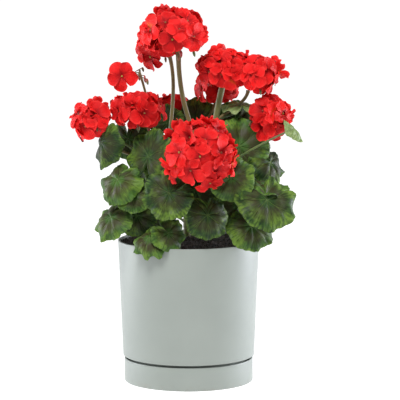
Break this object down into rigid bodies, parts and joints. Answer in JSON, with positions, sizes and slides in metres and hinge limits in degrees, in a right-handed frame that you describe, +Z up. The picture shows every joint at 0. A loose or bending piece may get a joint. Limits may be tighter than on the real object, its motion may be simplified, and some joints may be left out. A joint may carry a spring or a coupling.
{
  "type": "potted geranium",
  "caption": "Bushy red zonal geranium in a tapered pot that stands in its own round saucer.",
  "frame": {"origin": "centre of the saucer's underside, on the axis of the pot", "axes": "+Z up along the pot's axis, -Y to the front, from which the largest low flower head is seen, and +X to the right of someone who looks at the front"},
  "size_m": [0.3271, 0.2684, 0.5319],
  "materials": {
    "pot_plastic": "satin",
    "potting_mix": "matte",
    "stem": "matte",
    "stalk": "matte",
    "leaf": "satin",
    "young_leaf": "satin",
    "petal": "matte"
  },
  "bodies": {
    "root": {"flower_head_01": "petal", "flower_head_02": "petal", "flower_head_03": "petal", "flower_head_04": "petal", "flower_head_05": "petal", "flower_head_06": "petal", "flower_head_07": "petal", "flower_head_08": "petal", "flower_head_09": "petal", "flower_head_10": "petal", "flower_head_11": "petal", "flower_stalk_01": "stalk", "flower_stalk_02": "stalk", "flower_stalk_04": "stalk", "flower_stalk_05": "stalk", "flower_stalk_06": "stalk", "flower_stalk_07": "stalk", "flower_stalk_08": "stalk", "flower_stalk_09": "stalk", "flower_stalk_10": "stalk", "flower_stalk_11": "stalk", "leaf_01": "leaf", "leaf_02": "leaf", "leaf_03": "leaf", "leaf_04": "leaf", "leaf_05": "leaf", "leaf_06": "leaf", "leaf_07": "leaf", "leaf_08": "leaf", "leaf_09": "leaf", "leaf_10": "leaf", "leaf_11": "leaf", "leaf_12": "leaf", "leaf_13": "leaf", "leaf_14": "leaf", "leaf_15": "leaf", "leaf_16": "leaf", "leaf_17": "leaf", "leaf_18": "leaf", "leaf_19": "leaf", "leaf_20": "leaf", "leaf_21": "leaf", "leaf_22": "leaf", "leaf_23": "young_leaf", "leaf_24": "leaf", "leaf_25": "leaf", "leaf_26": "young_leaf", "leaf_27": "leaf", "leaf_28": "leaf", "leaf_29": "leaf", "leaf_30": "leaf", "leaf_31": "leaf", "leaf_32": "leaf", "main_stem_back": "stem", "main_stem_left": "stem", "main_stem_right": "stem", "pot": "pot_plastic", "potting_mix": "potting_mix", "saucer": "pot_plastic"}
  },
  "joints": []
}
